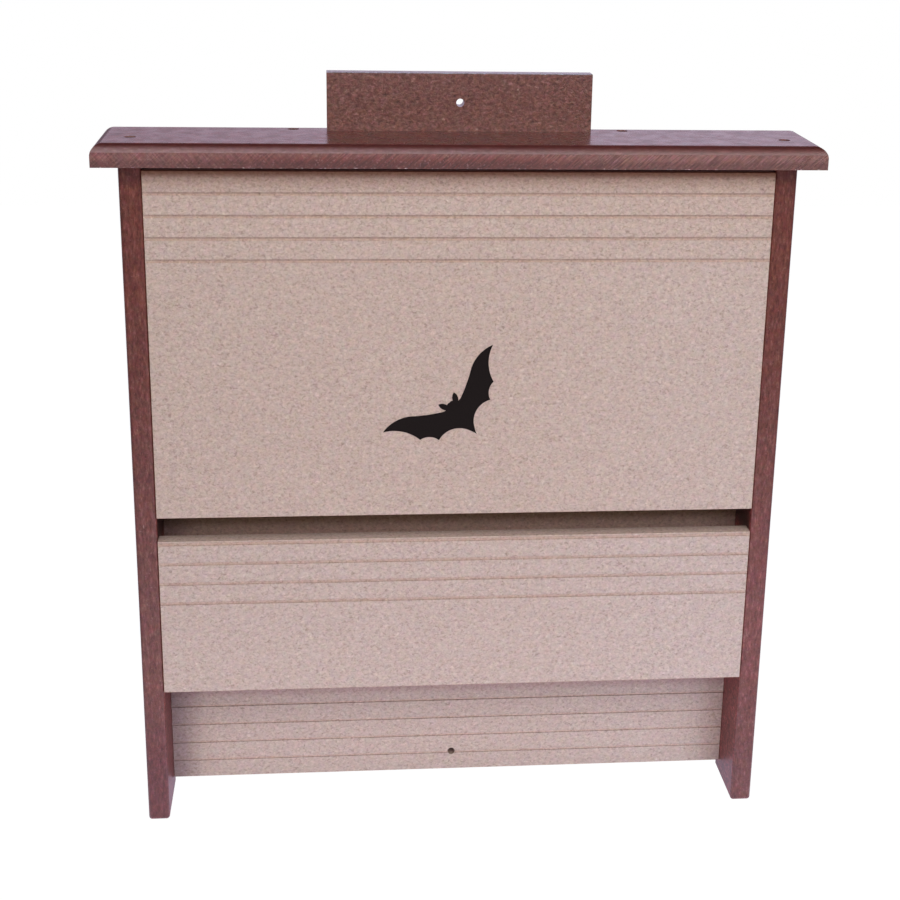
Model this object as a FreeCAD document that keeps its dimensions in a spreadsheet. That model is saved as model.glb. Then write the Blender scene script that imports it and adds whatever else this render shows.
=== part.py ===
"""Wall-hung bat box of recycled plastic lumber.

Two solid side boards carry a roof, a back board whose foot is the landing, an upper and a lower
front board with a vent slot between them, and a thin roost partition that slides in grooves. The
upper front board stays a quarter of an inch below the roof.
Everything is held by countersunk screws. The frame: X to the right and Z up as seen from the
front, Y towards the wall. The origin is the middle of the hanging hole, on the wall plane.
"""
import FreeCAD, Part
import Sketcher
import os

SIZES = {
    "inner_width": 533.4,
    "side_thickness": 19.05,
    "side_depth": 69.85,
    "side_height": 616.0,
    "side_edge_radius": 3.0,
    "roof_length": 609.6,
    "roof_thickness": 19.05,
    "roof_front_overhang": 22.9,
    "roof_round": 10.0,
    "roof_front_trim": 0.6,
    "sheet_thickness": 15.0,
    "sheet_edge_radius": 0.5,
    "roof_gap": 6.35,
    "upper_front_height": 307.65,
    "vent_slot_height": 22.2,
    "lower_front_height": 147.8,
    "back_board_lift": 12.7,
    "mounting_width": 228.6,
    "mounting_rise": 49.5,
    "hanging_hole_drop": 25.0,
    "fixing_hole_diameter": 7.0,
    "landing_hole_lift": 19.05,
    "groove_width": 3.0,
    "groove_depth": 0.8,
    "landing_groove_width": 2.2,
    "landing_groove_depth": 0.6,
    "groove_pitch": 19.05,
    "groove_count": 4,
    "upper_groove_drop": 19.05,
    "lower_groove_drop": 2.7,
    "landing_groove_lift": 18.2,
    "partition_thickness": 6.35,
    "partition_lift": 305.0,
    "partition_grip_lift": 25.4,
    "partition_grip_count": 15,
    "dado_depth": 6.0,
    "dado_play": 0.25,
    "roof_play": 1.0,
    "screw_length": 41.3,
    "screw_diameter": 4.8,
    "screw_head_diameter": 10.0,
    "screw_head_rim": 0.4,
    "screw_head_height": 3.2,
    "screw_point": 6.0,
    "screw_sink": 1.0,
    "screw_margin": 40.0,
    "lower_screw_margin": 30.0,
    "back_screw_count": 4,
    "upper_screw_count": 3,
    "lower_screw_count": 2,
    "roof_side_screw_setback": 16.3,
    "roof_back_screw_offset": 143.0,
    "mounting_screw_pitch": 80.0,
    "drive_width": 3.3,
    "drive_depth": 1.8,
    "bat_span": 124.0,
    "bat_tilt": 39.7,
    "bat_left_of_centre": 20.5,
    "bat_above_vent": 117.3,
    "decal_thickness": 0.2,
    "cut_clearance": 10.0,
}

# How near a face an edge lies that is found by its place, and the size at which sketches start
NEAR = 0.5
SKETCH_START = 8.0

doc = FreeCAD.newDocument("bat_box")
sheet = doc.addObject("Spreadsheet::Sheet", "Sizes")
for row, (alias, value) in enumerate(SIZES.items(), start=1):
    sheet.set(f"A{row}", alias)
    sheet.set(f"B{row}", str(value))
    sheet.setAlias(f"B{row}", alias)
doc.recompute()


def size(alias):
    """A driving dimension as the sheet holds it."""
    return float(sheet.get(alias))


def bind(thing, **expressions):
    """Bind properties of an object to the sheet. Two underscores stand for a dot."""
    for name, expression in expressions.items():
        thing.setExpression(name.replace("__", "."), expression)


# Heights above the lower ends of the sides, and the level of that base in the frame
BASE_LEVEL = "-(Sizes.side_height + Sizes.roof_thickness + Sizes.mounting_rise - Sizes.hanging_hole_drop)"
UPPER_FRONT_LIFT = "(Sizes.side_height - Sizes.roof_gap - Sizes.upper_front_height)"
LOWER_FRONT_LIFT = f"({UPPER_FRONT_LIFT} - Sizes.vent_slot_height - Sizes.lower_front_height)"
HALF_INNER = "Sizes.inner_width / 2"
FRONT_PLANE = "-Sizes.side_depth"
SHEET_FRONT = "-Sizes.sheet_thickness"
PARTITION_FRONT = "-(Sizes.side_depth + Sizes.partition_thickness) / 2"
ROOF_DEPTH = "(Sizes.side_depth + Sizes.roof_front_overhang + Sizes.roof_front_trim)"

base_level = -(size("side_height") + size("roof_thickness") + size("mounting_rise")
               - size("hanging_hole_drop"))
side_top = base_level + size("side_height")
roof_top = side_top + size("roof_thickness")
upper_front_top = side_top - size("roof_gap")
upper_front_bottom = upper_front_top - size("upper_front_height")
lower_front_top = upper_front_bottom - size("vent_slot_height")
lower_front_bottom = lower_front_top - size("lower_front_height")
outer_half = size("inner_width") / 2 + size("side_thickness")


def plane(body, role):
    """One of a body's own origin planes or axes."""
    return next(item for item in body.Origin.OriginFeatures if item.Role == role)


def make_sketch(body, role, name):
    """An empty sketch on one of the body's origin planes."""
    sketch = body.newObject("Sketcher::SketchObject", name)
    sketch.AttachmentSupport = (plane(body, role), "")
    sketch.MapMode = "FlatFace"
    return sketch


def closed_outline(sketch, points):
    """Straight edges round a list of sketch points, joined at their ends."""
    corners = [FreeCAD.Vector(x, y, 0) for x, y in points]
    following = corners[1:] + corners[:1]
    for start, end in zip(corners, following):
        sketch.addGeometry(Part.LineSegment(start, end))
    count = len(corners)
    for index in range(count):
        sketch.addConstraint(Sketcher.Constraint("Coincident", index, 2, (index + 1) % count, 1))


def drive(sketch, name, expression, kind, *places):
    """Add a dimension between places of a sketch, which are geometry and point numbers, and bind it."""
    number = sketch.addConstraint(Sketcher.Constraint(kind, *places, SKETCH_START))
    sketch.renameConstraint(number, name)
    sketch.setExpression(f"Constraints.{name}", expression)


def rectangle(body, role, name, width, height, left="0", bottom="0"):
    """A rectangle sketch whose width, height and lower left corner are expressions."""
    sketch = make_sketch(body, role, name)
    closed_outline(sketch, [(0, 0), (SKETCH_START, 0), (SKETCH_START, SKETCH_START), (0, SKETCH_START)])
    for index, kind in enumerate(("Horizontal", "Vertical", "Horizontal", "Vertical")):
        sketch.addConstraint(Sketcher.Constraint(kind, index))
    drive(sketch, "width", width, "DistanceX", 0, 1, 0, 2)
    drive(sketch, "height", height, "DistanceY", 1, 1, 1, 2)
    drive(sketch, "left", left, "DistanceX", -1, 1, 0, 1)
    drive(sketch, "bottom", bottom, "DistanceY", -1, 1, 0, 1)
    return sketch


def circle(body, role, name, diameter, across, up):
    """A circle sketch whose diameter and centre are expressions."""
    sketch = make_sketch(body, role, name)
    centre = FreeCAD.Vector(SKETCH_START, SKETCH_START, 0)
    sketch.addGeometry(Part.Circle(centre, FreeCAD.Vector(0, 0, 1), SKETCH_START / 2))
    drive(sketch, "diameter", diameter, "Diameter", 0)
    drive(sketch, "across", across, "DistanceX", -1, 1, 0, 3)
    drive(sketch, "up", up, "DistanceY", -1, 1, 0, 3)
    return sketch


def pad(body, sketch, length, backwards=False):
    """Extrude a sketch; backwards goes against the sketch's normal."""
    feature = body.newObject("PartDesign::Pad", f"{sketch.Name}_pad")
    feature.Profile = sketch
    feature.Reversed = backwards
    bind(feature, Length=length)
    sketch.Visibility = False
    return feature


def pocket(body, sketch, depth, along_normal=False):
    """Cut a sketch into the body, against the sketch's normal unless told otherwise."""
    feature = body.newObject("PartDesign::Pocket", f"{sketch.Name}_pocket")
    feature.Profile = sketch
    feature.Reversed = along_normal
    bind(feature, Length=depth)
    sketch.Visibility = False
    return feature


def repeat_upwards(body, feature, pitch, count):
    """Repeat a cut up the board at an even pitch."""
    pattern = body.newObject("PartDesign::LinearPattern", f"{feature.Name}_rows")
    pattern.Originals = [feature]
    pattern.Direction = (plane(body, "Z_Axis"), [""])
    bind(pattern, Length=f"{pitch} * ({count} - 1)", Occurrences=count)
    body.Tip = pattern
    return pattern


def round_edges(body, radius, wanted):
    """Round the edges of the body's last feature that the test picks out."""
    doc.recompute()
    base = body.Tip
    names = [f"Edge{number}" for number, edge in enumerate(base.Shape.Edges, start=1) if wanted(edge)]
    feature = body.newObject("PartDesign::Fillet", f"{body.Name}_round")
    feature.Base = (base, names)
    bind(feature, Radius=radius)
    return feature


def runs_along(edge, axis):
    """Whether a straight edge is parallel to X, Y or Z, given as 0, 1 or 2."""
    box = edge.BoundBox
    lengths = (box.XLength, box.YLength, box.ZLength)
    return sum(lengths) - lengths[axis] < NEAR


def new_body(label, x="0", y="0", z="0"):
    """An empty body whose corner stands at the given place."""
    body = doc.addObject("PartDesign::Body", label)
    bind(body, Placement__Base__x=x, Placement__Base__y=y, Placement__Base__z=z)
    return body


def sheet_board(label, width, height, thickness, x, y, z):
    """A flat board with eased edges: its front face is the body's XZ plane."""
    body = new_body(label, x, y, z)
    outline = rectangle(body, "XZ_Plane", f"{label}_outline", width, height)
    pad(body, outline, thickness, backwards=True)
    round_edges(body, "Sizes.sheet_edge_radius", lambda edge: True)
    return body


def cut_grooves(body, width, first, count, kerf="Sizes.groove_width", depth="Sizes.groove_depth",
                back_face=False):
    """Saw shallow level grooves across the front of a board, the lowest centred at first."""
    side = "back" if back_face else "front"
    name = f"{body.Name}_{side}_groove"
    outline = rectangle(body, "XZ_Plane", name, f"{width} + 2 * Sizes.cut_clearance", kerf,
                        left="-Sizes.cut_clearance", bottom=f"{first} - {kerf} / 2")
    if back_face:
        bind(outline, AttachmentOffset__Base__z="-Sizes.partition_thickness")
    cut = pocket(body, outline, depth, along_normal=back_face)
    return repeat_upwards(body, cut, "Sizes.groove_pitch", count)


def side_board(label, x, inner_is_far):
    """A side board with rounded long edges and foot, and the stopped groove for the partition."""
    body = new_body(label, x, FRONT_PLANE, BASE_LEVEL)
    outline = rectangle(body, "YZ_Plane", f"{label}_outline", "Sizes.side_depth", "Sizes.side_height")
    pad(body, outline, "Sizes.side_thickness")
    round_edges(body, "Sizes.side_edge_radius",
                lambda edge: runs_along(edge, 2) or edge.BoundBox.ZMax < NEAR)
    dado = rectangle(body, "YZ_Plane", f"{label}_dado",
                     "Sizes.partition_thickness + 2 * Sizes.dado_play",
                     "Sizes.side_height - Sizes.partition_lift + Sizes.cut_clearance",
                     left="(Sizes.side_depth - Sizes.partition_thickness) / 2 - Sizes.dado_play",
                     bottom="Sizes.partition_lift")
    if inner_is_far:
        bind(dado, AttachmentOffset__Base__z="Sizes.side_thickness")
    pocket(body, dado, "Sizes.dado_depth", along_normal=not inner_is_far)
    return body


def roof_board():
    """The roof: rounded top front and end edges, a front face sawn after the rounding, and a notch
    at the back for the mounting board."""
    body = new_body("roof_blank", "-Sizes.roof_length / 2", f"-{ROOF_DEPTH}",
                    f"{BASE_LEVEL} + Sizes.side_height")
    outline = rectangle(body, "XY_Plane", "roof_outline", "Sizes.roof_length", ROOF_DEPTH)
    pad(body, outline, "Sizes.roof_thickness")
    top = size("roof_thickness")
    back = size("side_depth") + size("roof_front_overhang") + size("roof_front_trim")
    round_edges(body, "Sizes.roof_round",
                lambda edge: edge.BoundBox.ZMin > top - NEAR and edge.BoundBox.YMin < back - NEAR)
    front = rectangle(body, "XY_Plane", "roof_front", "Sizes.roof_length + 2 * Sizes.cut_clearance",
                      "Sizes.roof_front_trim + Sizes.cut_clearance",
                      left="-Sizes.cut_clearance", bottom="-Sizes.cut_clearance")
    notch = rectangle(body, "XY_Plane", "roof_notch", "Sizes.mounting_width",
                      "Sizes.sheet_thickness + Sizes.cut_clearance",
                      left="(Sizes.roof_length - Sizes.mounting_width) / 2",
                      bottom=f"{ROOF_DEPTH} - Sizes.sheet_thickness")
    for cut in (front, notch):
        pocket(body, cut, "Sizes.roof_thickness + Sizes.cut_clearance", along_normal=True)
    return body


def screw_profile(body, rise):
    """Half section of a countersunk screw, head up, for a revolution about the vertical axis."""
    head = size("screw_head_diameter") / 2
    shank = size("screw_diameter") / 2
    length = size("screw_length")
    sketch = make_sketch(body, "XZ_Plane", f"{body.Name}_profile")
    closed_outline(sketch, [
        (0, rise),
        (head, rise),
        (head, -size("screw_head_rim")),
        (shank, -size("screw_head_height")),
        (shank, size("screw_point") - length),
        (0, -length),
    ])
    return sketch


def revolve(body, sketch):
    feature = body.newObject("PartDesign::Revolution", f"{sketch.Name}_turned")
    feature.Profile = sketch
    feature.ReferenceAxis = (sketch, ["V_Axis"])
    feature.Angle = 360
    return feature


def screw_form():
    """One screw, its head's top at the origin and its point down, with a square drive."""
    body = new_body("screw_form")
    revolve(body, screw_profile(body, 0))
    drive = rectangle(body, "XY_Plane", "screw_drive", "Sizes.drive_width", "Sizes.drive_width",
                      left="-Sizes.drive_width / 2", bottom="-Sizes.drive_width / 2")
    pocket(body, drive, "Sizes.drive_depth")
    return body


def screw_hole_form():
    """The hole that a screw leaves, open above its sunk head."""
    body = new_body("screw_hole_form")
    revolve(body, screw_profile(body, size("screw_sink") + NEAR))
    return body


def placed_copies(form, label, heads, direction):
    """Copies of a form at each head, driven along the direction, as one group of solids."""
    driven = FreeCAD.Vector(*direction)
    turn = FreeCAD.Rotation(FreeCAD.Vector(0, 0, -1), driven)
    copies = []
    for head in heads:
        copy = form.Shape.copy()
        copy.Placement = FreeCAD.Placement(FreeCAD.Vector(*head) + driven * size("screw_sink"), turn)
        copies.append(copy)
    group = doc.addObject("Part::Feature", label)
    group.Shape = Part.makeCompound(copies)
    return group


def screw_row(label, heads, direction):
    """A row of screws and the holes that they stand in."""
    screws = placed_copies(screw, label, heads, direction)
    holes = placed_copies(screw_hole, f"{label}_holes", heads, direction)
    return screws, holes


def drill(label, blank, rows):
    """The finished board: the blank less the holes of the rows of screws that enter it."""
    tool = doc.addObject("Part::Compound", f"{label}_drilling")
    tool.Links = [holes for screws, holes in rows]
    board = doc.addObject("Part::Cut", label)
    board.Base = blank
    board.Tool = tool
    return board


def arc_through(start, end, rise):
    """An arc from start to end that rises by the given height to the left of the way there."""
    chord = end - start
    if rise == 0:
        return Part.LineSegment(start, end).toShape()
    left = FreeCAD.Vector(-chord.z, 0, chord.x).normalize()
    middle = (start + end) * 0.5 + left * rise
    return Part.Arc(start, middle, end).toShape()


def bat_outline():
    """A flying bat of arcs: the right half from tail to crown, and its mirror image."""
    # Each point: along the wing, towards the head, and the rise of the arc that leaves it, in mm,
    # before the figure is scaled to its span
    half = [
        (0.0, -54.5, 0.3),
        (2.6, -48.2, 6.0),
        (29.0, -37.5, 2.8),
        (41.5, -26.5, 4.2),
        (62.0, 0.0, -3.2),
        (34.0, -4.4, 0.6),
        (12.0, -18.4, 0.4),
        (6.8, -20.0, -1.4),
        (8.7, -11.6, -1.0),
        (3.3, -16.8, -0.3),
    ]
    crown = FreeCAD.Vector(0, 0, -16.4)
    drawn_span = 2 * max(along for along, up, rise in half)
    points = [FreeCAD.Vector(along, 0, up) for along, up, rise in half] + [crown]
    rises = [rise for along, up, rise in half]
    right = [arc_through(points[i], points[i + 1], rises[i]) for i in range(len(rises))]
    mirror_plane = FreeCAD.Vector(1, 0, 0)
    left = [edge.mirror(FreeCAD.Vector(0, 0, 0), mirror_plane) for edge in right]
    wire = Part.Wire(Part.__sortEdges__(right + left))
    face = Part.Face(wire)
    face.scale(size("bat_span") / drawn_span)
    return face


def bat_decal():
    """The thin figure on the upper front board."""
    outline = doc.addObject("Part::Feature", "bat_outline")
    outline.Shape = bat_outline()
    place = FreeCAD.Vector(-size("bat_left_of_centre"), -size("side_depth"),
                           upper_front_bottom + size("bat_above_vent"))
    outline.Placement = FreeCAD.Placement(place, FreeCAD.Rotation(FreeCAD.Vector(0, -1, 0), size("bat_tilt")))
    decal = doc.addObject("Part::Extrusion", "bat_decal")
    decal.Base = outline
    decal.Dir = FreeCAD.Vector(0, -1, 0)
    decal.DirMode = "Custom"
    decal.Solid = True
    bind(decal, LengthFwd="Sizes.decal_thickness")
    return decal


def spread(first, last, count):
    """Evenly spaced values from first to last."""
    step = (last - first) / (count - 1)
    return [first + step * index for index in range(count)]


screw = screw_form()
screw_hole = screw_hole_form()
left_blank = side_board("left_side_blank", f"-({HALF_INNER} + Sizes.side_thickness)", True)
right_blank = side_board("right_side_blank", HALF_INNER, False)
roof_blank = roof_board()

back_blank = sheet_board("back_blank", "Sizes.inner_width", "Sizes.side_height - Sizes.back_board_lift",
                         "Sizes.sheet_thickness", f"-{HALF_INNER}", SHEET_FRONT,
                         f"{BASE_LEVEL} + Sizes.back_board_lift")
cut_grooves(back_blank, "Sizes.inner_width", "Sizes.landing_groove_lift", "Sizes.groove_count",
            kerf="Sizes.landing_groove_width", depth="Sizes.landing_groove_depth")
landing_hole = circle(back_blank, "XZ_Plane", "landing_hole", "Sizes.fixing_hole_diameter",
                      HALF_INNER, "Sizes.landing_hole_lift")
pocket(back_blank, landing_hole, "Sizes.sheet_thickness + Sizes.cut_clearance")

upper_blank = sheet_board("upper_front_blank", "Sizes.inner_width", "Sizes.upper_front_height",
                          "Sizes.sheet_thickness", f"-{HALF_INNER}", FRONT_PLANE,
                          f"{BASE_LEVEL} + {UPPER_FRONT_LIFT}")
cut_grooves(upper_blank, "Sizes.inner_width",
            "Sizes.upper_front_height - Sizes.upper_groove_drop"
            " - Sizes.groove_pitch * (Sizes.groove_count - 1)", "Sizes.groove_count")

lower_blank = sheet_board("lower_front_blank", "Sizes.inner_width", "Sizes.lower_front_height",
                          "Sizes.sheet_thickness", f"-{HALF_INNER}", FRONT_PLANE,
                          f"{BASE_LEVEL} + {LOWER_FRONT_LIFT}")
cut_grooves(lower_blank, "Sizes.inner_width",
            "Sizes.lower_front_height - Sizes.lower_groove_drop"
            " - Sizes.groove_pitch * (Sizes.groove_count - 1)", "Sizes.groove_count")

PARTITION_WIDTH = "Sizes.inner_width + 2 * (Sizes.dado_depth - Sizes.dado_play)"
partition = sheet_board("roost_partition", PARTITION_WIDTH,
                        "Sizes.side_height - Sizes.partition_lift - Sizes.roof_play",
                        "Sizes.partition_thickness", f"-({PARTITION_WIDTH}) / 2", PARTITION_FRONT,
                        f"{BASE_LEVEL} + Sizes.partition_lift")
for back_face in (False, True):
    cut_grooves(partition, PARTITION_WIDTH, "Sizes.partition_grip_lift", "Sizes.partition_grip_count",
                back_face=back_face)

mounting_blank = sheet_board("mounting_blank", "Sizes.mounting_width",
                             "Sizes.roof_thickness + Sizes.mounting_rise", "Sizes.sheet_thickness",
                             "-Sizes.mounting_width / 2", SHEET_FRONT,
                             f"{BASE_LEVEL} + Sizes.side_height")
hanging_hole = circle(mounting_blank, "XZ_Plane", "hanging_hole", "Sizes.fixing_hole_diameter",
                      "Sizes.mounting_width / 2",
                      "Sizes.roof_thickness + Sizes.mounting_rise - Sizes.hanging_hole_drop")
pocket(mounting_blank, hanging_hole, "Sizes.sheet_thickness + Sizes.cut_clearance")
doc.recompute()

margin = size("screw_margin")
lower_margin = size("lower_screw_margin")
back_plane = -size("sheet_thickness") / 2
front_plane = size("sheet_thickness") / 2 - size("side_depth")
back_heights = spread(base_level + size("back_board_lift") + margin, side_top - margin,
                      int(size("back_screw_count")))
upper_heights = spread(upper_front_bottom + margin, upper_front_top - margin,
                       int(size("upper_screw_count")))
lower_heights = spread(lower_front_bottom + lower_margin, lower_front_top - lower_margin,
                       int(size("lower_screw_count")))

side_rows = {}
for side, sign in (("left", -1), ("right", 1)):
    side_rows[side] = {}
    for place, depth, heights in (("back", back_plane, back_heights),
                                  ("upper_front", front_plane, upper_heights),
                                  ("lower_front", front_plane, lower_heights)):
        heads = [(sign * outer_half, depth, height) for height in heights]
        side_rows[side][place] = screw_row(f"{side}_{place}_screws", heads, (-sign, 0, 0))

side_middle = (size("inner_width") + size("side_thickness")) / 2
side_setback = size("roof_side_screw_setback") - size("side_depth")
roof_side_row = screw_row("roof_side_screws",
                          [(sign * side_middle, side_setback, roof_top) for sign in (-1, 1)], (0, 0, -1))
roof_back_row = screw_row("roof_back_screws",
                          [(sign * size("roof_back_screw_offset"), back_plane, roof_top)
                           for sign in (-1, 1)], (0, 0, -1))
mounting_row = screw_row("mounting_board_screws",
                         [(place * size("mounting_screw_pitch"), 0, side_top + size("roof_thickness") / 2)
                          for place in (-1, 0, 1)], (0, -1, 0))

parts = [
    drill("left_side_board", left_blank, [*side_rows["left"].values(), roof_side_row]),
    drill("right_side_board", right_blank, [*side_rows["right"].values(), roof_side_row]),
    drill("roof_board", roof_blank, [roof_side_row, roof_back_row, mounting_row]),
    drill("mounting_board", mounting_blank, [mounting_row]),
    drill("back_board", back_blank,
          [side_rows["left"]["back"], side_rows["right"]["back"], roof_back_row]),
    drill("upper_front_board", upper_blank,
          [side_rows["left"]["upper_front"], side_rows["right"]["upper_front"]]),
    drill("lower_front_board", lower_blank,
          [side_rows["left"]["lower_front"], side_rows["right"]["lower_front"]]),
    partition,
    bat_decal(),
    roof_side_row[0],
    roof_back_row[0],
    mounting_row[0],
]
for rows in side_rows.values():
    parts.extend(screws for screws, holes in rows.values())
doc.recompute()

for thing in doc.Objects:
    if "Invalid" in thing.State or "Error" in thing.State:
        raise RuntimeError(f"{thing.Label} failed: {thing.State}")
for part in parts:
    if part.Shape.isNull() or not part.Shape.isValid() or part.Shape.Volume <= 0:
        raise RuntimeError(f"{part.Label} has no valid solid")

os.makedirs("parts", exist_ok=True)
for part in parts:
    box = part.Shape.BoundBox
    print(f"{part.Label:28s} solids {len(part.Shape.Solids)} volume {part.Shape.Volume:12.1f} "
          f"X {box.XMin:.1f} {box.XMax:.1f} Y {box.YMin:.1f} {box.YMax:.1f} Z {box.ZMin:.1f} {box.ZMax:.1f}")
    part.Shape.exportStep(f"parts/{part.Label}.step")
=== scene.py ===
from collections import namedtuple
import math
import bpy
from mathutils import Matrix, Vector


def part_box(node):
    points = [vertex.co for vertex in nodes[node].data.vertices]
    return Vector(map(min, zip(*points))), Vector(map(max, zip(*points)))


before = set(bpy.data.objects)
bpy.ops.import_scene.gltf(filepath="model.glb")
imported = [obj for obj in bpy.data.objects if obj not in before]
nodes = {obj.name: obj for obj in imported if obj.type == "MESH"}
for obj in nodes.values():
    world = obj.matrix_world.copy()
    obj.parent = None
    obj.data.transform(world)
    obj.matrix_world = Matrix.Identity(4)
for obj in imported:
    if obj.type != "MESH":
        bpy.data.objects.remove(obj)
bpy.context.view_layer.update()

LUMBER = ["left_side_board", "right_side_board"]
TAN = ["back_board", "upper_front_board", "lower_front_board", "roost_partition"]
SCREWS = [name for name in nodes if name.endswith("_screws")]

# A tint that begins at one value of a coordinate and is full at another
Fade = namedtuple("Fade", "start full tint")

# A share of a colour laid over another, which begins at one value of a noise and is full at another
Flecks = namedtuple("Flecks", "start full share colour")

# A soft lamp: its size in metres and its power in watts
Lamp = namedtuple("Lamp", "place target size power colour")


def paint(red, green, blue):
    """A display colour of 0 to 255 a channel as the linear colour that a shader takes."""
    channels = []
    for value in (red, green, blue):
        share = value / 255
        channels.append(share / 12.92 if share <= 0.04045 else ((share + 0.055) / 1.055) ** 2.4)
    return tuple(channels)


def grey(value):
    """One value in all three channels."""
    return (value, value, value)


WHITE = grey(1.0)

# The camera: metres and degrees in the object's frame, pixels of the 900 pixel square picture
CAMERA_PLACE = (-0.1142, -1.4566, 0.1993)
CAMERA_YAW = 5.9219
CAMERA_PITCH = 17.871
CAMERA_ROLL = 1.2426
PICTURE = 900
FOCAL_PIXELS = 1672.5
CENTRE_ACROSS = 494.77
CENTRE_DOWN = 399.16
SENSOR_MM = 36.0

# The planes of the front boards' faces and of the landing, the heights of the boards' edges, and the
# inner face of the right side. Every place below is in metres, and a place across is from the middle.
FRONT_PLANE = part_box("upper_front_board")[0][1]
LANDING_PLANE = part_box("back_board")[0][1]
ROOF_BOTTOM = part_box("roof_board")[0][2]
UPPER_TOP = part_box("upper_front_board")[1][2]
UPPER_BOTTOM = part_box("upper_front_board")[0][2]
LOWER_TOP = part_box("lower_front_board")[1][2]
LOWER_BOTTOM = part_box("lower_front_board")[0][2]
SIDE_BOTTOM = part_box("right_side_board")[0][2]
SIDE_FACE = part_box("right_side_board")[0][0]
GROOVE_PITCH = 0.01905

# The studio as a glossy surface mirrors it: its tint on the right and on the left, the share of full
# brightness that the left, the table below and all else have, and where one gives way to the next along
# a direction's X, Y or Z
BACKDROP_TINT = (0.92, 0.78, 1.0)
BACKDROP_TINT_LEFT = (0.90, 0.71, 0.91)
LEFT_SHARE = 0.68
TABLE_SHARE = 0.7
DIM_SHARE = 0.08
LEFT_TO_RIGHT = (-0.15, 0.2)
NEAR_TO_AWAY = (-0.1, 0.5)
HIGH_TO_LEVEL = (0.6, 0.3)
LEVEL_TO_TABLE = (-0.1, -0.4)
AMBIENT_COLOUR = (0.92, 0.95, 1.0)
AMBIENT_STRENGTH = 0.12

# The floor, which is almost full white to the camera
FLOOR_PLACE = (0.0, 3.0, -1.5)
FLOOR_WIDTH = 12.0
FLOOR_DEPTH = 8.0
FLOOR_STRENGTH = 0.99

# Daylight on the middle of the box, and light that bounces off the table below
MIDDLE = (0.0, -0.07, -0.3)
DAYLIGHT = (1.0, 1.0, 0.974)
BOUNCE = (1.02, 0.985, 1.09)
TABLE_ACROSS = 0.1
TABLE_HEIGHT = -0.68


def table_lamp(forward, size, power):
    """Light thrown straight up by the table, some way in front of the wall."""
    place = (TABLE_ACROSS, forward, TABLE_HEIGHT)
    return Lamp(place, (TABLE_ACROSS, forward, 0.0), size, power, BOUNCE)


LAMPS = {
    "key_left": Lamp((-0.5, -0.95, 0.6), MIDDLE, (1.0, 0.6), 3.77, DAYLIGHT),
    "key_right": Lamp((0.5, -0.95, 0.6), MIDDLE, (1.0, 0.6), 3.77, DAYLIGHT),
    "window": Lamp((0.8, -2.0, 1.28), MIDDLE, (1.6, 1.05), 17.6, DAYLIGHT),
    "room": Lamp((0.0, -1.9, 0.42), MIDDLE, (2.2, 0.4), 4.0, DAYLIGHT),
    "table_near": table_lamp(-0.22, (1.3, 0.35), 1.6),
    "table_middle": table_lamp(-0.55, (1.3, 0.3), 1.82),
    "table_far": table_lamp(-0.95, (1.6, 0.4), 1.67),
}

# The way a face looks, by one of its parts: where it begins to count as front, rounded or top, and where
# it counts in full
FRONT_FACES = (-0.985, -0.998)
ROUNDED_FACES = (0.995, 0.95)
TOP_FACES = (0.0, 0.3)

# Depths behind a front plane: where a cut begins and shows in full, and where a board's front fades and
# ends, so that its rear face stays as it is
CUT_BEGINS = 0.0002
CUT_SHOWS = 0.0004
FRONT_FADES = 0.004
FRONT_ENDS = 0.005

# Patches of warm and cool, and of pink and green: how far each channel leans, how much finer they are and
# the seed of their noise
LEANS = (((0.6, 0.0, -0.9), 1.0, 3.0), ((0.4, -0.9, 0.4), 1.3, 5.0))

# Tan sheet: its mottling and specks, the scale and strength of its patches, and the tints of cut faces,
# with painted shade and light in the upper grooves and on rounded edges
TAN_STRETCH = (0.85, 1.0, 1.1)
TAN_PATCHES = (130.0, 0.14)
TAN_MOTTLING = ((0.27, paint(150, 127, 118)), (0.42, paint(186, 163, 153)), (0.52, paint(197, 174, 164)),
                (0.64, paint(208, 186, 176)), (0.76, paint(228, 209, 200)))
TAN_SPECKS = Flecks(0.66, 0.78, 0.45, paint(150, 117, 102))
LOW_CUTS = Fade(LOWER_TOP + 0.01, LOWER_TOP, (1.02, 0.95, 0.91))
UPPER_BOARD = (UPPER_BOTTOM - 0.01, UPPER_BOTTOM)
GROOVE_TURN = (GROOVE_PITCH / 2 - 0.0006, GROOVE_PITCH / 2 + 0.0010)
GROOVE_SHADE = (0.80, 0.74, 0.72)
GROOVE_LIGHT = (1.10, 1.03, 0.98)
TAN_EDGE_CUT_AND_SHADE = (0.86, 0.74, 0.66)
TAN_EDGE_UP_LIT = (1.06, 1.04, 1.02)

# Tan sheet, the photograph's light by place: the lower board's top edge, the roof's shade, the back board
# behind the fronts, in the slot, at its ends and on the landing, and the lower and right parts of the box
LEDGE = Fade(FRONT_PLANE + 0.002, FRONT_PLANE + 0.015, (0.66, 0.65, 0.65))
UNDER_ROOF = Fade(UPPER_TOP - 0.022, UPPER_TOP - 0.004, (1.0, 0.91, 0.84))
NEAR_GAP = Fade(UPPER_TOP - 0.007, UPPER_TOP - 0.001, (0.55, 0.39, 0.30))
BACK_BEGINS = (LANDING_PLANE - 0.002, LANDING_PLANE - 0.001)
BEHIND_FRONTS = Fade(LOWER_BOTTOM, LOWER_BOTTOM + 0.02, (1.16, 1.05, 0.97))
IN_SLOT = Fade(LOWER_TOP - 0.012, LOWER_TOP - 0.001, (0.62, 0.59, 0.49))
BACK_LEFT_END = Fade(0.036 - SIDE_FACE, 0.002 - SIDE_FACE, (0.58, 0.55, 0.62))
BACK_RIGHT_END = Fade(SIDE_FACE - 0.03, SIDE_FACE - 0.006, (0.92, 0.87, 0.86))
LANDING_SHADE = Fade(LOWER_BOTTOM - 0.038, LOWER_BOTTOM - 0.030, (0.88, 0.79, 0.82))
LANDING_SHADE_ENDS = (LOWER_BOTTOM + 0.02, LOWER_BOTTOM)
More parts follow.
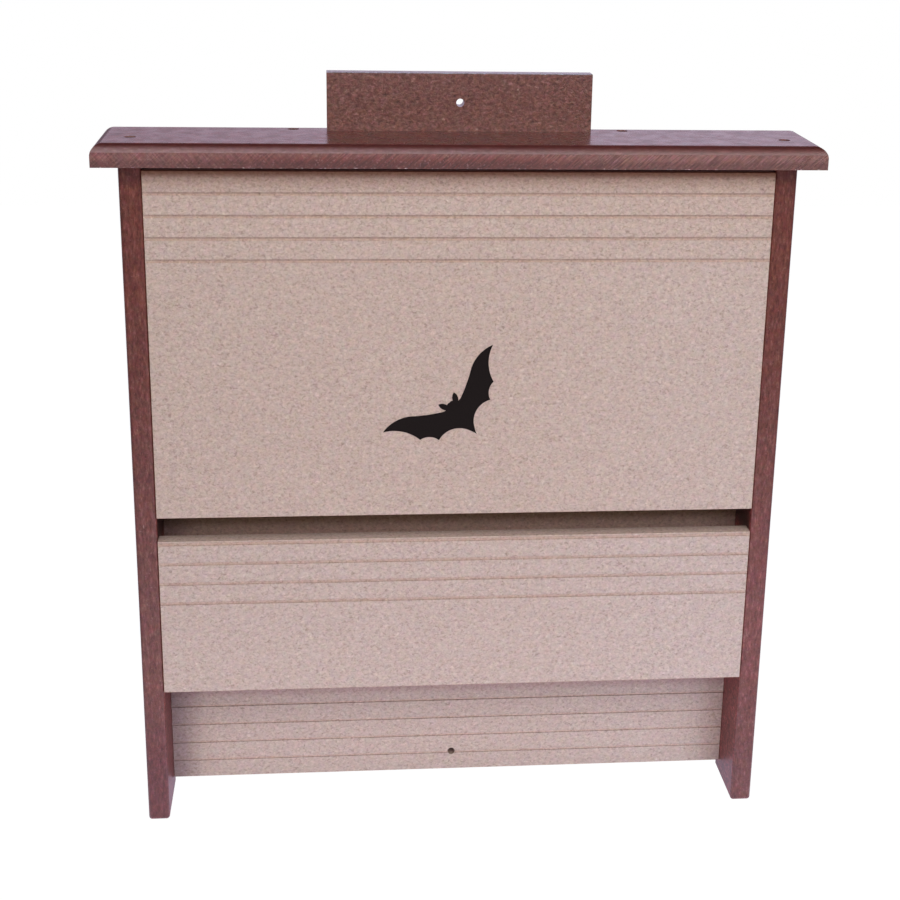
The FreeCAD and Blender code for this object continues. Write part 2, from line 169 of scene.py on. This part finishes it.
LOWER_PART = Fade(LOWER_TOP, LOWER_TOP - 0.01, (1.0, 1.015, 1.045))
RIGHT_PART = Fade(0.02, 0.24, (1.03, 1.05, 1.08))
BELOW_ROOF = (UPPER_TOP - 0.03, UPPER_TOP - 0.11)

# Brown sheet of the hanging board, with a painted pale reflection on faces that look up
BROWN_STRETCH = (0.8, 1.0, 1.05)
BROWN_PATCHES = (190.0, 0.44)
BROWN_MOTTLING = ((0.28, paint(52, 18, 14)), (0.42, paint(102, 58, 50)), (0.52, paint(123, 75, 67)),
                  (0.64, paint(149, 100, 93)), (0.76, paint(206, 162, 156)))
BROWN_TOP_SHEEN = (1.2, 3.1, 4.8)
BROWN_ROUGHNESS = (0.36, 0.22)

# Skin of extruded lumber: streaks along the upright sides and the roof, flecks, nicks and patches
UPRIGHT = (1.0, 0.4, 0.3)
LENGTHWAYS = (0.3, 1.0, 1.0)
FLECK_STRETCH = (1.0, 0.4, 1.0)
STREAKS = ((0.3, paint(78, 38, 35)), (0.45, paint(102, 56, 51)), (0.56, paint(114, 67, 62)),
           (0.7, paint(142, 92, 87)))
PALE_FLECKS = Flecks(0.58, 0.78, 0.6, paint(162, 118, 114))
DARK_FLECKS = Flecks(0.44, 0.28, 0.6, paint(68, 33, 32))
NICKS = Flecks(0.77, 0.83, 0.5, paint(196, 160, 158))
LUMBER_PATCHES = (150.0, 0.47)

# The sides, the photograph's light by place: by height on either side, on the inner faces, whose flecks
# stand out more, and on the walls of the slot
LEFT = (0.0, -0.1)
RIGHT = (0.0, 0.1)
SIDE_UPPER = Fade(SIDE_BOTTOM + 0.22, SIDE_BOTTOM + 0.56, (0.95, 0.83, 0.73))
LEFT_FOOT = Fade(SIDE_BOTTOM + 0.16, SIDE_BOTTOM + 0.04, (0.77, 0.54, 0.68))
RIGHT_LOWER = Fade(SIDE_BOTTOM + 0.36, SIDE_BOTTOM + 0.22, (1.15, 1.05, 1.13))
RIGHT_FOOT = Fade(SIDE_BOTTOM + 0.16, SIDE_BOTTOM + 0.03, (0.80, 0.83, 0.87))
INNER_FACE = (SIDE_FACE + 0.0006, SIDE_FACE + 0.0003)
INNER_CONTRAST = (0.35, 0.65)
INNER_DARK = (0.62, 0.30, 0.34)
INNER_LIGHT = (1.70, 1.15, 1.20)
SLOT_WALL = Fade(LOWER_TOP - 0.01, LOWER_TOP, (0.60, 0.66, 0.66))
SLOT_WALL_BEGINS = (FRONT_PLANE, FRONT_PLANE + 0.008)
SLOT_LEFT = Fade(*LEFT, (0.42, 0.62, 0.72))
SLOT_RIGHT = Fade(FRONT_PLANE + 0.004, FRONT_PLANE + 0.014, (0.58, 0.74, 0.80))

# The roof's sawn front: scratches that lean, crossed by others on the left, and its colours by place
SCRATCH_STRETCH = (1.0, 1.0, 0.07)
SCRATCH_CONTRAST = (0.37, 0.63)
LEANING = -48.0
CROSSING = 40.0
CROSSED = (-0.1, -0.16)
SCUFFED = (0.35, 0.65)
SCUFFED_SHARES = (0.5, 1.0)
SAWN_DARK = paint(92, 48, 42)
SAWN_LIGHT = paint(150, 102, 97)
SAWN_PALE_FLECKS = Flecks(0.54, 0.74, 0.5, paint(166, 124, 121))
SAWN_DARK_FLECKS = Flecks(0.46, 0.3, 0.4, paint(76, 38, 35))
SPLINTERS = Flecks(0.58, 0.70, 1.0, paint(206, 176, 178))
LOWEST_EDGE = (ROOF_BOTTOM + 0.0011, ROOF_BOTTOM + 0.0003)
SAWN_LOWER = Fade(ROOF_BOTTOM + 0.009, ROOF_BOTTOM + 0.0035, (0.60, 0.48, 0.45))
LOWER_WANDER = 0.0012
ROOF_MIDDLE = -0.05
MIDDLE_STRETCH = (0.20, 0.08)
SAWN_MIDDLE = (0.86, 0.76, 0.74)
SAWN_MIDDLE_LOWER = Fade(ROOF_BOTTOM + 0.0125, ROOF_BOTTOM + 0.0075, (0.82, 0.50, 0.44))
SAWN_LEFT = Fade(-0.1, -0.2, (0.96, 0.88, 0.90))
SAWN_ROUGHNESS = grey(0.6)

# The roof's top, and its routed rounding: painted shade where it turns up, and a painted highlight of the
# window's light below
GRAIN_STRETCH = (0.28, 0.28, 1.0)
TOP_STRETCH = (0.35, 0.22, 1.0)
TOP_PATCHES = (260.0, 1.2)
ROOF_TOP = (1.05, 0.72, 0.66)
TOP_ROUGHNESS = (0.215, 0.325)
TOP_FLATNESS = 0.85
ROUTED_ROUGHNESS = grey(0.5)
ROUTED_SHARE = 0.5
ROUTED = paint(104, 58, 53)
ROUTED_UP_SHADE = (0.60, 0.26, 0.22)
ROUTED_TURN = (0.90, 0.58)
SHINE_TURN = (-0.2, 0.2)
SHINE_LEFT = (1.68, 2.40, 2.95)
SHINE_RIGHT = (1.16, 1.15, 1.28)
SHINE_MIDDLE = (0.88, 0.85, 0.88)
SHINE_RIGHT_END = Fade(0.16, 0.26, (0.94, 0.80, 0.78))

# Vinyl and steel
VINYL = ((0.3, paint(13, 7, 5)), (0.7, paint(23, 15, 12)))
STEEL = ((0.3, paint(120, 116, 108)), (0.7, paint(176, 172, 162)))


class Shader:
    """A node tree under construction, for a material or the world. Its colours have three channels."""

    def __init__(self, tree):
        self.tree = tree
        tree.nodes.clear()

    def add(self, kind, inputs=None, **settings):
        """A node with its settings and inputs, each a value or a socket to link."""
        node = self.tree.nodes.new(f"ShaderNode{kind}")
        for name, value in settings.items():
            setattr(node, name, value)
        for name, value in (inputs or {}).items():
            self.feed(node.inputs[name], value)
        return node

    def feed(self, socket, value):
        """The value, or a link from another socket, for a socket."""
        if isinstance(value, bpy.types.NodeSocket):
            self.tree.links.new(value, socket)
        elif socket.type == "RGBA":
            socket.default_value = (*value, 1.0)
        else:
            socket.default_value = value

    def place(self):
        """The place on the object in metres."""
        return self.add("TexCoord").outputs["Object"]

    def parts(self, vector):
        """The X, Y and Z of a vector."""
        return self.add("SeparateXYZ", {0: vector}).outputs

    def facing(self, normal="True Normal"):
        """The X, Y and Z of the way the surface looks, by its flat faces or by the smoothed normal."""
        return self.parts(self.add("NewGeometry").outputs[normal])

    def maths(self, operation, first, second=0.0):
        """One step of arithmetic."""
        return self.add("Math", {0: first, 1: second}, operation=operation).outputs[0]

    def both(self, mask, *others):
        """The share that all masks leave."""
        for other in others:
            mask = self.maths("MULTIPLY", mask, other)
        return mask

    def either(self, mask, *others):
        """The largest of masks."""
        for other in others:
            mask = self.maths("MAXIMUM", mask, other)
        return mask

    def step(self, value, low, high, out_low=0.0, out_high=1.0):
        """Value mapped from low and high to the two results, smoothly and held beyond them."""
        node = self.add("MapRange", {0: value, 1: low, 2: high, 3: out_low, 4: out_high},
                        interpolation_type="SMOOTHSTEP")
        return node.outputs[0]

    def noise(self, place, scale, detail=2.0, roughness=0.5, distortion=0.0, seed=0.0):
        """Cloudy noise of 0 to 1, most of it near the middle; each seed gives another pattern."""
        node = self.add("TexNoise", {"Vector": place, "W": seed, "Scale": scale, "Detail": detail,
                                     "Roughness": roughness, "Distortion": distortion},
                        noise_dimensions="4D")
        return node.outputs["Fac"]

    def stretch(self, place, factors, turn=0.0):
        """The place turned about Y by some degrees, and its axes then scaled."""
        turned = self.add("Mapping", {"Vector": place, "Rotation": (0.0, math.radians(turn), 0.0)})
        return self.add("Mapping", {"Vector": turned.outputs[0], "Scale": factors}).outputs[0]

    def mix(self, factor, first, second, blend="MIX"):
        """Two colours mixed by a factor."""
        node = self.add("Mix", data_type="RGBA", blend_type=blend)
        for index, value in ((0, factor), (6, first), (7, second)):
            self.feed(node.inputs[index], value)
        return node.outputs[2]

    def ramp(self, factor, stops):
        """Colours along a factor, each stop a position and a colour."""
        node = self.add("ValToRGB", {"Fac": factor})
        elements = node.color_ramp.elements
        while len(elements) < len(stops):
            elements.new(1.0)
        for element, (position, colour) in zip(elements, stops):
            element.position = position
            element.color = (*colour, 1.0)
        return node.outputs["Color"]

    def tinted(self, colour, factor, low, high):
        """The colour multiplied by a tint between two."""
        return self.mix(1.0, colour, self.mix(factor, low, high), "MULTIPLY")

    def shade(self, colour, mask, tint):
        """The colour multiplied by a tint where a mask is 1."""
        return self.tinted(colour, mask, WHITE, tint)

    def fade(self, colour, value, fade, *masks):
        """The colour with a tint that fades in along a value, within masks."""
        mask = self.both(self.step(value, fade.start, fade.full), *masks)
        return self.shade(colour, mask, fade.tint)

    def cover(self, colour, noise, flecks, *masks):
        """The colour with flecks over it where a noise has them, within masks."""
        mask = self.both(self.step(noise, flecks.start, flecks.full, 0.0, flecks.share), *masks)
        return self.mix(mask, colour, flecks.colour)

    def bump(self, height, depth):
        """A normal from a height of 0 to 1 that stands for a depth in metres."""
        return self.add("Bump", {"Height": height, "Distance": depth, "Strength": 1.0}).outputs["Normal"]

    def finish(self, inputs):
        """The principled surface and the output."""
        surface = self.add("BsdfPrincipled", inputs)
        self.add("OutputMaterial", {"Surface": surface.outputs[0]})


def new_material(name):
    """A material and its shader."""
    material = bpy.data.materials.new(name)
    material.use_nodes = True
    return material, Shader(material.node_tree)


def on_front(shader):
    """1 on faces that look straight to the front."""
    return shader.step(shader.facing()[1], *FRONT_FACES)


def on_edge(shader):
    """1 on rounded edges, which look along no axis."""
    sides = [shader.maths("ABSOLUTE", part) for part in shader.facing()]
    return shader.step(shader.either(*sides), *ROUNDED_FACES)


def on_top(shader):
    """1 on surfaces that look up, even at a slant."""
    return shader.step(shader.facing()[2], *TOP_FACES)


def tinge(shader, place, colour, scale, strength):
    """Patches that lean to warm or cool and to pink or green, down to a fleck's size."""
    for lean, finer, seed in LEANS:
        patches = shader.noise(place, scale * finer, detail=4.0, roughness=0.7, distortion=0.4, seed=seed)
        one = [1 + strength * channel for channel in lean]
        other = [1 - strength * channel for channel in lean]
        colour = shader.tinted(colour, patches, one, other)
    return colour


def board_front(shader, depth, plane):
    """1 down to a few millimetres behind a front plane."""
    return shader.step(depth, plane + FRONT_ENDS, plane + FRONT_FADES)


def cut_into(shader, depth, plane):
    """1 from a fraction of a millimetre to a few millimetres behind a front plane."""
    begins = shader.step(depth, plane + CUT_BEGINS, plane + CUT_SHOWS)
    return shader.both(begins, board_front(shader, depth, plane))


def saw_grooves(shader, colour, depth, height, front):
    """Grooves brown low down, and under the roof with painted shade above their middle and painted light
    below it.
    """
    cut_front = shader.both(cut_into(shader, depth, FRONT_PLANE), front)
    cut_landing = shader.both(cut_into(shader, depth, LANDING_PLANE), front)
    colour = shader.fade(colour, height, LOW_CUTS, shader.either(cut_front, cut_landing))
    upper = shader.both(cut_front, shader.step(height, *UPPER_BOARD))
    # Painted shade on the upper half of each groove, painted light on the lower half
    fall = shader.maths("SUBTRACT", UPPER_TOP + GROOVE_PITCH / 2, height)
    lit = shader.step(shader.maths("MODULO", fall, GROOVE_PITCH), *GROOVE_TURN)
    return shader.mix(upper, colour, shader.tinted(colour, lit, GROOVE_SHADE, GROOVE_LIGHT))


def back_board_light(shader, colour, across, depth, height):
    """The back board's front: shaded in the slot, at its ends and just below the lower board."""
    back = shader.both(shader.step(depth, *BACK_BEGINS), board_front(shader, depth, LANDING_PLANE))
    colour = shader.fade(colour, height, BEHIND_FRONTS, back)
    colour = shader.fade(colour, height, IN_SLOT, back)
    colour = shader.fade(colour, across, BACK_LEFT_END, back)
    colour = shader.fade(colour, across, BACK_RIGHT_END, back)
    return shader.fade(colour, height, LANDING_SHADE, back, shader.step(height, *LANDING_SHADE_ENDS))


def tan_sheet():
    """Tan recycled sheet: felt-like fine mottling, browner where a saw or a router has cut it, with
    painted shade and light in the upper grooves, on rounded edges and by place.
    """
    material, shader = new_material("tan_sheet")
    place = shader.place()
    across, depth, height = shader.parts(place)
    front = on_front(shader)
    upward = on_top(shader)
    felt = shader.stretch(place, TAN_STRETCH)
    fleck = shader.noise(felt, 390.0, detail=4.0, roughness=0.62, distortion=0.9)
    colour = tinge(shader, place, shader.ramp(fleck, TAN_MOTTLING), *TAN_PATCHES)
    colour = shader.cover(colour, shader.noise(place, 560.0, seed=7.0), TAN_SPECKS)
    colour = saw_grooves(shader, colour, depth, height, front)
    colour = shader.fade(colour, depth, LEDGE, upward)
    outside = board_front(shader, depth, FRONT_PLANE)
    colour = shader.fade(colour, height, UNDER_ROOF, outside)
    colour = shader.fade(colour, height, NEAR_GAP, outside)
    colour = back_board_light(shader, colour, across, depth, height)
    colour = shader.fade(colour, height, LOWER_PART, front)
    colour = shader.fade(colour, across, RIGHT_PART, front, shader.step(height, *BELOW_ROOF))
    # Rounded edges: browner as cut, with painted shade where they do not look up and painted light where
    # they look up
    rounded = shader.tinted(colour, upward, TAN_EDGE_CUT_AND_SHADE, TAN_EDGE_UP_LIT)
    colour = shader.mix(on_edge(shader), colour, rounded)
    shader.finish({"Base Color": colour, "Roughness": 0.6, "Specular IOR Level": 0.3,
                   "Normal": shader.bump(fleck, depth=0.0003)})
    return material


def brown_sheet():
    """Brown recycled sheet of the hanging board: dark and pale flecks in reddish brown."""
    material, shader = new_material("brown_sheet")
    place = shader.place()
    felt = shader.stretch(place, BROWN_STRETCH)
    fleck = shader.noise(felt, 390.0, detail=4.0, roughness=0.7, distortion=0.8)
    colour = tinge(shader, place, shader.ramp(fleck, BROWN_MOTTLING), *BROWN_PATCHES)
    upward = on_top(shader)
    # Faces that look up are tinted pale lavender: a painted reflection of the backdrop
    colour = shader.shade(colour, upward, BROWN_TOP_SHEEN)
    shader.finish({"Base Color": colour, "Roughness": shader.step(upward, 0.0, 1.0, *BROWN_ROUGHNESS),
                   "Specular IOR Level": 0.7, "Normal": shader.bump(fleck, depth=0.0004)})
    return material


def lumber_skin(shader, place, along):
    """The extruded skin's colour, with fine streaks along the board and a few nicks, and its flecks."""
    drawn = shader.stretch(place, along)
    streak = shader.noise(drawn, 520.0, detail=4.0, roughness=0.62, distortion=0.15)
    colour = shader.ramp(streak, STREAKS)
    short = shader.stretch(place, FLECK_STRETCH)
    fleck = shader.noise(short, 560.0, detail=3.0, roughness=0.6, distortion=0.4, seed=2.0)
    colour = shader.cover(colour, fleck, PALE_FLECKS)
    colour = shader.cover(colour, fleck, DARK_FLECKS)
    colour = shader.cover(colour, shader.noise(drawn, 260.0, detail=1.0, seed=23.0), NICKS)
    return tinge(shader, place, colour, *LUMBER_PATCHES), fleck


def brown_lumber():
    """The sides: extruded brown lumber, its streaks upright."""
    material, shader = new_material("brown_lumber")
    place = shader.place()
    across, depth, height = shader.parts(place)
    left = shader.step(across, *LEFT)
    right = shader.step(across, *RIGHT)
    colour, fleck = lumber_skin(shader, place, UPRIGHT)
    colour = shader.fade(colour, height, SIDE_UPPER)
    colour = shader.fade(colour, height, LEFT_FOOT, left)
    colour = shader.fade(colour, height, RIGHT_LOWER, right)
    colour = shader.fade(colour, height, RIGHT_FOOT, right)
    inner = shader.step(shader.maths("ABSOLUTE", across), *INNER_FACE)
    contrast = shader.step(fleck, *INNER_CONTRAST)
    colour = shader.mix(inner, colour, shader.tinted(colour, contrast, INNER_DARK, INNER_LIGHT))
    wall = shader.both(inner, shader.step(depth, *SLOT_WALL_BEGINS))
    colour = shader.fade(colour, height, SLOT_WALL, wall)
    slot = shader.both(wall, shader.step(height, SLOT_WALL.start, SLOT_WALL.full))
    colour = shader.fade(colour, across, SLOT_LEFT, slot)
    colour = shader.fade(colour, depth, SLOT_RIGHT, slot, right)
    shader.finish({"Base Color": colour, "Roughness": 0.4, "Specular IOR Level": 0.4,
                   "Normal": shader.bump(fleck, depth=0.0002)})
    return material


def saw_marks(shader, place, turn, seed):
    """Fine uneven scratches across a sawn face, upright before the turn in degrees."""
    scratched = shader.stretch(place, SCRATCH_STRETCH, turn)
    return shader.step(shader.noise(scratched, 940.0, distortion=0.1, seed=seed), *SCRATCH_CONTRAST)


def roof_middle(shader, across):
    """1 in the middle stretch of the roof."""
    off_middle = shader.maths("ABSOLUTE", shader.maths("SUBTRACT", across, ROOF_MIDDLE))
    return shader.step(off_middle, *MIDDLE_STRETCH)


def sawn_front(shader, place, fleck):
    """The sawn front's colour and the height of its scratches."""
    across, _, height = shader.parts(place)
    leaning = saw_marks(shader, place, LEANING, seed=11.0)
    crossed = shader.mix(0.5, leaning, saw_marks(shader, place, CROSSING, seed=13.0))
    marks = shader.mix(shader.step(across, *CROSSED), leaning, crossed)
    scuff = shader.noise(place, 45.0, detail=4.0, roughness=0.65, distortion=0.5, seed=17.0)
    marks = shader.mix(shader.step(scuff, *SCUFFED, *SCUFFED_SHARES), grey(0.5), marks)
    colour = shader.mix(marks, SAWN_DARK, SAWN_LIGHT)
    wander = shader.step(scuff, 0.3, 0.7, -LOWER_WANDER, LOWER_WANDER)
    colour = shader.fade(colour, shader.maths("ADD", height, wander), SAWN_LOWER)
    middle = roof_middle(shader, across)
    colour = shader.shade(colour, middle, SAWN_MIDDLE)
    colour = shader.fade(colour, height, SAWN_MIDDLE_LOWER, middle)
    colour = shader.fade(colour, across, SAWN_LEFT)
    colour = shader.cover(colour, fleck, SAWN_PALE_FLECKS)
    colour = shader.cover(colour, fleck, SAWN_DARK_FLECKS)
    splinter = shader.noise(place, 500.0, seed=29.0)
    colour = shader.cover(colour, splinter, SPLINTERS, shader.step(height, *LOWEST_EDGE))
    return tinge(shader, place, colour, *LUMBER_PATCHES), marks


def routed_edge(shader, across, skin):
    """The rounding: dark red with painted shade where it turns up, and below that pale with a painted
    highlight of the window's light.
    """
    shine = shader.mix(shader.step(across, *SHINE_TURN), SHINE_LEFT, SHINE_RIGHT)
    shine = shader.shade(shine, roof_middle(shader, across), SHINE_MIDDLE)
    shine = shader.fade(shine, across, SHINE_RIGHT_END)
    turn = shader.step(shader.facing("Normal")[2], *ROUTED_TURN)
    # Painted shade where the rounding turns up, a painted highlight below it
    return shader.tinted(shader.mix(ROUTED_SHARE, skin, ROUTED), turn, ROUTED_UP_SHADE, shine)


def roof_lumber():
    """The roof: skin with streaks along it, routed edges dark with painted shade and a painted highlight,
    and a scratched, sawn front face.
    """
    material, shader = new_material("roof_lumber")
    place = shader.place()
    across = shader.parts(place)[0]
    front = on_front(shader)
    edge = on_edge(shader)
    upward = on_top(shader)
    skin, fleck = lumber_skin(shader, place, LENGTHWAYS)
    sawn, marks = sawn_front(shader, place, fleck)
    top = tinge(shader, shader.stretch(place, TOP_STRETCH), skin, *TOP_PATCHES)
    colour = shader.mix(upward, skin, shader.shade(top, upward, ROOF_TOP))
    colour = shader.mix(front, colour, sawn)
    colour = shader.mix(edge, colour, routed_edge(shader, across, skin))
    drawn = shader.stretch(place, GRAIN_STRETCH)
    grain = shader.noise(drawn, 240.0, detail=5.0, roughness=0.62, seed=19.0)
    roughness = shader.mix(edge, shader.step(grain, 0.3, 0.7, *TOP_ROUGHNESS), ROUTED_ROUGHNESS)
    relief = shader.mix(front, shader.mix(TOP_FLATNESS, fleck, grey(0.5)), marks)
    shader.finish({"Base Color": colour, "Roughness": shader.mix(front, roughness, SAWN_ROUGHNESS),
                   "Specular IOR Level": 0.8, "Normal": shader.bump(relief, depth=0.0002)})
    return material


def black_vinyl():
    """The bat figure: matt black film."""
    material, shader = new_material("black_vinyl")
    grain = shader.noise(shader.place(), 900.0)
    shader.finish({"Base Color": shader.ramp(grain, VINYL), "Roughness": 0.6,
                   "Specular IOR Level": 0.12, "Normal": shader.bump(grain, depth=0.00005)})
    return material


def screw_steel():
    """The screws: grey steel, unevenly dull."""
    material, shader = new_material("screw_steel")
    grain = shader.noise(shader.place(), 1500.0)
    shader.finish({"Base Color": shader.ramp(grain, STEEL), "Roughness": 0.38, "Metallic": 1.0})
    return material


def dress(names, material):
    """The material on every node of a list."""
    for name in names:
        mesh = nodes[name].data
        mesh.materials.clear()
        mesh.materials.append(material)


def make_world():
    """White behind the object, dim in front and above, and a plain soft light from all round."""
    world = bpy.data.worlds.new("studio")
    bpy.context.scene.world = world
    world.use_nodes = True
    shader = Shader(world.node_tree)
    seen = shader.add("LightPath").outputs
    across, away, up = shader.parts(shader.add("TexCoord").outputs["Generated"])
    behind = shader.both(shader.step(away, *NEAR_TO_AWAY), shader.step(up, *HIGH_TO_LEVEL),
                         shader.step(across, *LEFT_TO_RIGHT, LEFT_SHARE, 1.0))
    table = shader.step(up, *LEVEL_TO_TABLE, 0.0, TABLE_SHARE)
    backdrop = shader.step(shader.either(behind, table), 0.0, 1.0, DIM_SHARE, 1.0)
    mirrored = shader.mix(shader.step(across, *LEFT_TO_RIGHT), BACKDROP_TINT_LEFT, BACKDROP_TINT)
    white = shader.add("Background", {
        "Color": shader.mix(seen["Is Camera Ray"], mirrored, WHITE),
        "Strength": shader.either(backdrop, seen["Is Camera Ray"]),
    })
    ambient = shader.add("Background", {"Color": AMBIENT_COLOUR, "Strength": AMBIENT_STRENGTH})
    shown = shader.either(seen["Is Glossy Ray"], seen["Is Transmission Ray"], seen["Is Camera Ray"])
    chosen = shader.add("MixShader", {0: shown, 1: ambient.outputs[0], 2: white.outputs[0]})
    shader.add("OutputWorld", {"Surface": chosen.outputs[0]})


def area_light(name, settings):
    """A rectangular lamp that faces its target and stays out of the picture."""
    lamp = bpy.data.lights.new(name, "AREA")
    lamp.shape = "RECTANGLE"
    lamp.size, lamp.size_y = settings.size
    lamp.energy = settings.power
    lamp.color = settings.colour
    thing = bpy.data.objects.new(name, lamp)
    thing.location = settings.place
    thing.visible_camera = False
    aim = Vector(settings.target) - Vector(settings.place)
    thing.rotation_euler = aim.to_track_quat("-Z", "Y").to_euler()
    bpy.context.scene.collection.objects.link(thing)


def make_lights():
    """Soft panels high in front, more from the right, and light off the pale table below."""
    for name, settings in LAMPS.items():
        area_light(name, settings)


def make_floor():
    """A plain pale floor below the wall-hung box, as white as the backdrop to the camera."""
    bpy.ops.mesh.primitive_plane_add(size=1.0, location=FLOOR_PLACE)
    floor = bpy.context.object
    floor.scale = (FLOOR_WIDTH, FLOOR_DEPTH, 1.0)
    floor.name = "floor"
    material, shader = new_material("floor_white")
    seen = shader.add("LightPath").outputs
    tint = shader.mix(seen["Is Camera Ray"], BACKDROP_TINT, WHITE)
    bright = shader.add("Emission", {"Color": tint, "Strength": FLOOR_STRENGTH})
    shadow = shader.add("BsdfDiffuse", {"Color": grey(0.2)})
    lit = shader.add("AddShader", {0: bright.outputs[0], 1: shadow.outputs[0]})
    dull = shader.add("BsdfDiffuse", {"Color": grey(0.8)})
    shown = shader.either(seen["Is Camera Ray"], seen["Is Glossy Ray"], seen["Is Transmission Ray"])
    chosen = shader.add("MixShader", {0: shown, 1: dull.outputs[0], 2: lit.outputs[0]})
    shader.add("OutputMaterial", {"Surface": chosen.outputs[0]})
    floor.data.materials.append(material)


def make_camera():
    """The camera at the photograph's place, from its yaw, pitch and roll."""
    yaw, pitch, roll = (math.radians(angle) for angle in (CAMERA_YAW, CAMERA_PITCH, CAMERA_ROLL))
    level_forward = Vector((math.sin(yaw), math.cos(yaw), 0.0))
    forward = math.cos(pitch) * level_forward - Vector((0.0, 0.0, math.sin(pitch)))
    level = Vector((math.cos(yaw), -math.sin(yaw), 0.0))
    upright = level.cross(forward)
    right = math.cos(roll) * level + math.sin(roll) * upright
    up = math.cos(roll) * upright - math.sin(roll) * level
    turn = Matrix((right, up, -forward)).transposed().to_4x4()
    lens = bpy.data.cameras.new("camera")
    lens.sensor_width = SENSOR_MM
    lens.lens = FOCAL_PIXELS * SENSOR_MM / PICTURE
    lens.shift_x = (PICTURE / 2 - CENTRE_ACROSS) / PICTURE
    lens.shift_y = (CENTRE_DOWN - PICTURE / 2) / PICTURE
    camera = bpy.data.objects.new("camera", lens)
    camera.matrix_world = Matrix.Translation(CAMERA_PLACE) @ turn
    bpy.context.scene.collection.objects.link(camera)
    bpy.context.scene.camera = camera


dress(LUMBER, brown_lumber())
dress(["roof_board"], roof_lumber())
dress(["mounting_board"], brown_sheet())
dress(TAN, tan_sheet())
dress(["bat_decal"], black_vinyl())
dress(SCREWS, screw_steel())
make_world()
make_lights()
make_floor()
make_camera()
bpy.context.scene.view_settings.view_transform = "Standard"
